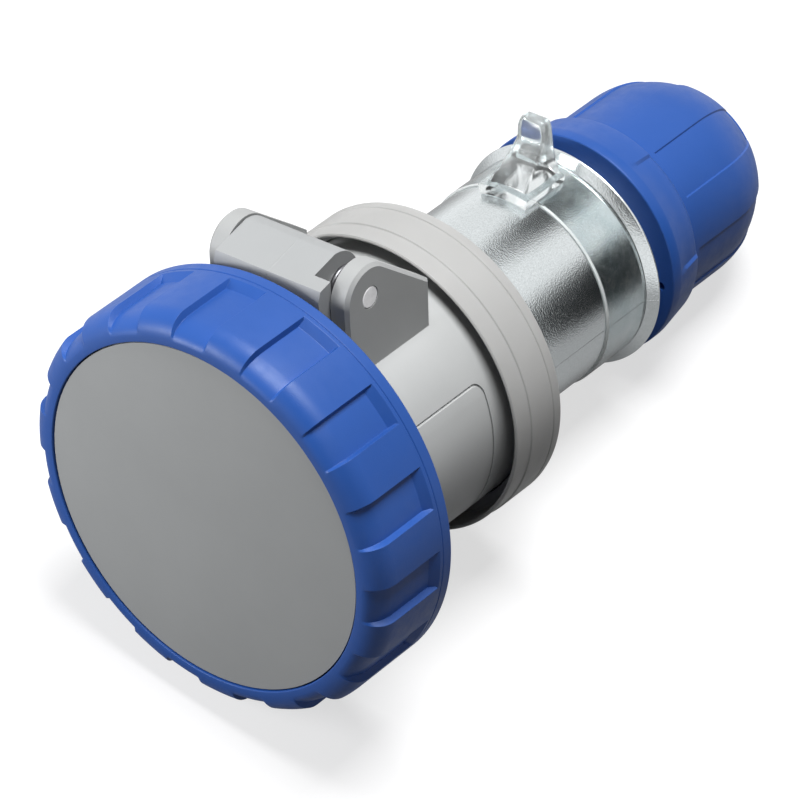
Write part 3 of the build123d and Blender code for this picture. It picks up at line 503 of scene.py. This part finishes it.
BAND_BORE, BAND_R, BAND_FRONT, BAND_REAR = 21.9, 22.45, 96.0, 108.4
PAD_IN, PAD_R, PAD_FRONT, PAD_REAR, PAD_ARC = 22.1, 24.2, 92.7, 105.0, 29.0
lock = turned("lock_ring_clear", [
    (BAND_FRONT, BAND_BORE), (BAND_FRONT, BAND_R - 0.25), (BAND_FRONT + 0.3, BAND_R),
    (BAND_REAR, BAND_R, 0.2), (BAND_REAR, BAND_BORE)], 180)
bpy.ops.object.mode_set(mode="OBJECT")
pad = turned("pad", [(PAD_FRONT, PAD_IN), (PAD_FRONT, PAD_R), (PAD_REAR, PAD_R), (PAD_REAR, PAD_IN)], 16,
             arc=PAD_ARC)
joined_on(lock, pad)
bpy.ops.object.select_all(action="DESELECT")
# The tab's levels, from its foot up: height from the axis, depth and half width in mm.
TAB_FOOT, TAB_BACK = 22.1, 105.2
TAB_LEVELS = ((24.2, 11.0, 4.6), (26.5, 8.28, 3.9), (29.3, 4.97, 3.5), (30.8, 3.4, 3.4),
              (33.6, 3.2, 3.3), (35.3, 2.6, 2.7))
foot_top, foot_deep, foot_half = TAB_LEVELS[0]
foot_middle = (0, TAB_BACK - foot_deep / 2, (TAB_FOOT + foot_top) / 2)
bpy.ops.mesh.primitive_cube_add(size=1.0, location=foot_middle,
                                scale=(2 * foot_half, foot_deep, foot_top - TAB_FOOT))
tab = bpy.context.active_object
bpy.ops.object.transform_apply(location=True, rotation=True, scale=True)
bpy.ops.object.mode_set(mode="EDIT")
bpy.ops.mesh.select_mode(type="FACE")
bpy.ops.mesh.select_all(action="DESELECT")
mesh = bmesh.from_edit_mesh(tab.data)
max(mesh.faces, key=lambda face: face.calc_center_median().z).select_set(True)
bmesh.update_edit_mesh(tab.data)
for (top, deep, half), (next_top, next_deep, next_half) in zip(TAB_LEVELS, TAB_LEVELS[1:]):
    bpy.ops.mesh.extrude_region_move(TRANSFORM_OT_translate={"value": (0, 0, next_top - top)})
    bpy.ops.transform.resize(value=(next_half / half, next_deep / deep, 1), center_override=(0, TAB_BACK, 0))
bpy.ops.mesh.select_mode(type="EDGE")
bpy.ops.mesh.select_all(action="SELECT")
bpy.ops.mesh.bevel(offset=0.7, segments=3, affect="EDGES")
joined_on(lock, tab)
laid_down(lock, 0.00022, corner=30)
clear = bpy.data.materials.new("clear_polycarbonate")
clear.use_nodes = True
clear_shader = clear.node_tree.nodes["Principled BSDF"]
clear_place = connector_axes(clear)
ripple = noise(clear, clear_place, 260, 2, 0.4)
clear_tint = tinted(clear, spread(clear, ripple, 0, 1), (0.86, 0.91, 0.92), (0.94, 0.97, 0.97))
clear_shader.inputs["IOR"].default_value = 1.46
clear_parts = clear.node_tree.nodes.new("ShaderNodeSeparateXYZ")
rear_of_edge = spread(clear, clear_parts, 0.3, 1.0, 0.0962, 0.0966)
below_tab = spread(clear, clear_parts, 1.0, 0.88, 0.0243, 0.0262)
at_pad = spread(clear, clear_parts, 0.0, 1.0, 0.0210, 0.0213)
clear_front = clear.node_tree.nodes.new("ShaderNodeMath")
clear_front.operation = "MAXIMUM"
clearness = clear.node_tree.nodes.new("ShaderNodeMath")
clearness.operation = "MINIMUM"
wire(clear, ((clear_place, 0), (clear_parts, 0)), ((clear_parts, "Y"), (rear_of_edge, "Value")),
     ((clear_parts, "Z"), (below_tab, "Value")), ((clear_parts, "Z"), (at_pad, "Value")),
     ((rear_of_edge, 0), (clear_front, 0)), ((at_pad, 0), (clear_front, 1)),
     ((clear_front, 0), (clearness, 0)), ((below_tab, 0), (clearness, 1)),
     ((clearness, 0), (clear_shader, "Transmission Weight")))
wire(clear, ((clear_tint, 2), (clear_shader, "Base Color")),
     ((spread(clear, noise(clear, clear_place, 700, 3), 0.08, 0.2), 0), (clear_shader, "Roughness")),
     ((skin(clear, ripple, 0.00003, 0.4), 0), (clear_shader, "Normal")))
lock.data.materials.append(clear)
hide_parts("lock_ring")
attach(lock, "lock")


# Clamping claws: a slotted sleeve inside the neck that the nut squeezes onto the cable.
# Moulded in black nylon.
claws = moulded("black_nylon", (0.03, 0.03, 0.033), 0.48, 0.000014, 0.1)
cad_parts["clamp_claws"].data.materials[0] = claws


# Gland nut: a blue domed cap with a broad grip band, screwed over the neck. Moulded like the
# ring; six shallow panels are sunk in its dome, three in its band, and a vent in its face.
NUT_FRONT, NUT_RIM_R, NUT_BAND_R, BAND_BACK, DOME_R, DOME_FRONT = 115.0, 24.35, 23.1, 124.7, 21.4, 126.2
NOSE_Y, NOSE_Z, NOSE_R, NOSE_IN, NUT_END, CABLE_R = 141.0, 1.2, 20.2, 17.6, 159.08, 9.2
THREAD_R, THREAD_REAR, WASHER_ROOM, THRUST_FRONT, THRUST_REAR = 18.9, 133.0, 16.7, 134.4, 137.4
PANEL_HALF, PANEL_FRONT, PANEL_REAR, PANEL_END_R = 15, 127.6, 157.2, 12.3
PANEL_EDGE, PANEL_DEEP = 0.25, 0.35
GRIP_HALF, GRIP_FRONT, GRIP_REAR, GRIP_R, GRIP_DEEP = 29, 117.7, 124.9, 23.7, 0.5
nose_out = []
for i in range(1, 16):
    a = math.radians(63.5 * i / 16)
    nose_out.append((NOSE_Y + NOSE_R * math.sin(a), NOSE_Z + NOSE_R * math.cos(a)))
nose_in = []
for i in range(1, 6):
    a = math.radians(48.6 * (6 - i) / 6)
    nose_in.append((NOSE_Y + NOSE_IN * math.sin(a), NOSE_Z + NOSE_IN * math.cos(a)))
nut = turned("gland_nut_turned", [
    (NUT_FRONT, NUT_RIM_R, 0.4), (117.4, NUT_RIM_R, 0.3), (119.9, 23.92), (122.3, 23.51),
    (BAND_BACK, NUT_BAND_R, 0.25), (DOME_FRONT, DOME_R), (PANEL_FRONT, DOME_R), (132.0, DOME_R),
    (136.5, DOME_R), (NOSE_Y, DOME_R), *nose_out, (NUT_END, CABLE_R + 1), (NUT_END - 1, CABLE_R),
    (154.2, CABLE_R), (154.2, 12.84), *nose_in, (NOSE_Y, NOSE_IN + NOSE_Z), (THRUST_REAR, NOSE_IN + NOSE_Z),
    (THRUST_REAR, CABLE_R + 1), (THRUST_FRONT, CABLE_R + 1), (THRUST_FRONT, WASHER_ROOM),
    (THREAD_REAR, THREAD_R), (NUT_FRONT, THREAD_R)], 240)
picked(lambda y, r, a: abs(off_centre(a, 45, 60)) < PANEL_HALF and PANEL_FRONT < y < PANEL_REAR
       and r > PANEL_END_R and math.hypot(max(0.0, y - NOSE_Y), r - NOSE_Z) > NOSE_R - 0.7, faces=True)
bpy.ops.mesh.inset(thickness=PANEL_EDGE, depth=-PANEL_DEEP)
picked(lambda y, r, a: abs(off_centre(a, 30, 120)) < GRIP_HALF and GRIP_FRONT < y < GRIP_REAR and r > 22.2)
grip = 1 - GRIP_DEEP / GRIP_R
bpy.ops.transform.resize(value=(grip, 1, grip), center_override=(0, 120, 0))
bpy.ops.object.mode_set(mode="OBJECT")
bpy.ops.object.select_all(action="DESELECT")
VENT_PITCH, VENT_ANGLE = 21.2, math.radians(-6.5)
vent_at = (VENT_PITCH * math.cos(VENT_ANGLE), NUT_FRONT + 1, VENT_PITCH * math.sin(VENT_ANGLE))
bpy.ops.mesh.primitive_cylinder_add(vertices=32, radius=0.9, depth=4.0, location=vent_at,
                                    rotation=(math.pi / 2, 0, 0))
vent = bpy.context.active_object
bpy.ops.object.transform_apply(location=True, rotation=True, scale=True)
joined_on(nut, vent, "DIFFERENCE")
laid_down(nut, 0.00015)
nut.data.materials.append(blue)
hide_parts("gland_nut")
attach(nut, "nut")


# The studio: a white floor that keeps the soft shadow, a broad soft box overhead and a little
# behind, a small one near the lid, two dark cards whose soft reflections lie on the silver tube,
# and a third one round the camera, which keeps the faces turned to it from shining.
bpy.ops.object.select_all(action="DESELECT")
bpy.ops.mesh.primitive_plane_add(size=6.0, location=(0, 0, 0))
floor = bpy.context.active_object
floor.name = "studio_floor"
white = bpy.data.materials.new("studio_white")
white.use_nodes = True
nodes = white.node_tree.nodes
paint = nodes["Principled BSDF"]
paint.inputs["Roughness"].default_value = 0.9
paint.inputs["Specular IOR Level"].default_value = 0.05


def seen_rays(tree, in_gloss=None):
    """One for rays from the camera, a share for those off gloss or through plastic, else nought."""
    path = tree.nodes.new("ShaderNodeLightPath")
    either = tree.nodes.new("ShaderNodeMath")
    either.operation = "MAXIMUM"
    share = tree.nodes.new("ShaderNodeMath")
    share.operation = "MULTIPLY"
    share.inputs[1].default_value = 1.0
    if in_gloss is not None:
        tree.links.new(in_gloss.outputs[0], share.inputs[1])
    any_of = tree.nodes.new("ShaderNodeMath")
    any_of.operation = "MAXIMUM"
    tree.links.new(path.outputs["Is Glossy Ray"], either.inputs[0])
    tree.links.new(path.outputs["Is Transmission Ray"], either.inputs[1])
    tree.links.new(either.outputs[0], share.inputs[0])
    tree.links.new(share.outputs[0], any_of.inputs[0])
    tree.links.new(path.outputs["Is Camera Ray"], any_of.inputs[1])
    return any_of


seen = nodes.new("ShaderNodeMath")
seen.operation = "MULTIPLY"
glow = nodes.new("ShaderNodeEmission")
both = nodes.new("ShaderNodeAddShader")
floor_place = nodes.new("ShaderNodeTexCoord")
from_middle = nodes.new("ShaderNodeVectorMath")
from_middle.operation = "LENGTH"
brighter_far = spread(white, from_middle, 0.25, 1.0, 0.1, 0.28)
glow_level = spread(white, from_middle, 0.66, 1.0, 0.45, 1.3)
wire(white, ((floor_place, "Object"), (from_middle, 0)), ((from_middle, "Value"), (glow_level, "Value")),
     ((from_middle, "Value"), (brighter_far, "Value")), ((glow_level, 0), (seen, 1)))
floor_seen = seen_rays(white.node_tree, brighter_far)
floor_tint = tinted(white, floor_seen, (0.12, 0.12, 0.12), (0.36, 0.36, 0.365))
wire(white, ((floor_tint, 2), (paint, "Base Color")), ((floor_seen, 0), (seen, 0)),
     ((seen, 0), (glow, "Strength")), ((paint, 0), (both, 0)), ((glow, 0), (both, 1)),
     ((both, 0), (nodes["Material Output"], "Surface")))
floor.data.materials.append(white)

world = bpy.data.worlds.new("studio")
scene.world = world
world.use_nodes = True
sky = world.node_tree.nodes["Background"]
level = world.node_tree.nodes.new("ShaderNodeMapRange")
level.inputs["To Min"].default_value = 0.05
level.inputs["To Max"].default_value = 1.0
world.node_tree.links.new(seen_rays(world.node_tree).outputs[0], level.inputs["Value"])
world.node_tree.links.new(level.outputs[0], sky.inputs["Strength"])
sky.inputs["Color"].default_value = (1, 1, 1, 1)

card_black = bpy.data.materials.new("card_black")
card_black.use_nodes = True
nodes = card_black.node_tree.nodes
nodes["Principled BSDF"].inputs["Base Color"].default_value = (0.01, 0.012, 0.014, 1)
nodes["Principled BSDF"].inputs["Roughness"].default_value = 0.9
around = nodes.new("ShaderNodeTexCoord")
far = nodes.new("ShaderNodeVectorMath")
far.operation = "LENGTH"
fade = nodes.new("ShaderNodeMapRange")
fade.interpolation_type = "SMOOTHSTEP"
fade.inputs["From Min"].default_value = 0.5
fade.inputs["From Max"].default_value = 1.0
open_air = nodes.new("ShaderNodeBsdfTransparent")
edge_mix = nodes.new("ShaderNodeMixShader")
wire(card_black, ((around, "Object"), (far, 0)), ((far, "Value"), (fade, "Value")),
     ((fade, 0), (edge_mix, 0)), ((nodes["Principled BSDF"], 0), (edge_mix, 1)),
     ((open_air, 0), (edge_mix, 2)), ((edge_mix, 0), (nodes["Material Output"], "Surface")))


def card(name, station, angle, way, reach, along, across, cover=1.0):
    """Soft-edged dark card, seen only in reflections, facing the tube at a station and angle."""
    a = math.radians(angle)
    on_tube = LYING @ MM @ Vector((TUBE_R * math.cos(a), station, TUBE_R * math.sin(a)))
    way = Vector(way).normalized()
    bpy.ops.mesh.primitive_circle_add(vertices=48, radius=1.0, fill_type="NGON")
    sheet = bpy.context.active_object
    sheet.name = name
    side = REARWARD.cross(way).normalized()
    turn = Matrix((side, way.cross(side), way)).transposed().to_4x4()
    size = Matrix.Diagonal((across, along, 1, 1))
    sheet.matrix_world = Matrix.Translation(on_tube + way * reach) @ turn @ size
    sheet.data.materials.append(card_black.copy())
    sheet.data.materials[0].node_tree.nodes["Map Range"].inputs["To Min"].default_value = 1 - cover
    sheet.visible_camera = sheet.visible_diffuse = sheet.visible_shadow = False


card("high_card", 101.0, 66.0, (-0.14, 0.79, 0.60), 0.07, 0.028, 0.030, 1.0)
card("right_card", 97.0, 21.5, (0.74, 0.67, 0.0), 0.07, 0.036, 0.048)
card("camera_card", 20.0, 46.0, (0.41, -0.50, 0.76), 0.8, 0.5, 0.5, 0.85)


def lamp(name, place, aim, size, watts):
    """A square soft box hung at a place and pointed at another."""
    light = bpy.data.lights.new(name, "AREA")
    light.shape = "SQUARE"
    light.size = size
    light.energy = watts
    box = bpy.data.objects.new(name, light)
    box.location = place
    box.rotation_euler = (Vector(aim) - Vector(place)).to_track_quat("-Z", "Y").to_euler()
    box.visible_camera = False
    scene.collection.objects.link(box)


lamp("overhead_box", (0.0, 0.2, 1.07), (0, 0, 0.03), 0.55, 17.0)
lamp("lid_box", (-0.13, -0.24, 0.13), (-0.01, -0.08, 0.05), 0.1, 0.4)

camera = bpy.data.objects.new("photo_camera", bpy.data.cameras.new("photo_camera"))
camera.data.lens = 270
camera.data.sensor_width = 36
camera.data.clip_start = 0.05
camera.data.clip_end = 50
camera.location = (0.47736, -0.60507, 0.91512)
camera.rotation_euler = (math.radians(40.45966), math.radians(-0.35123), math.radians(39.50178))
scene.collection.objects.link(camera)
scene.camera = camera
scene.view_settings.view_transform = "Standard"
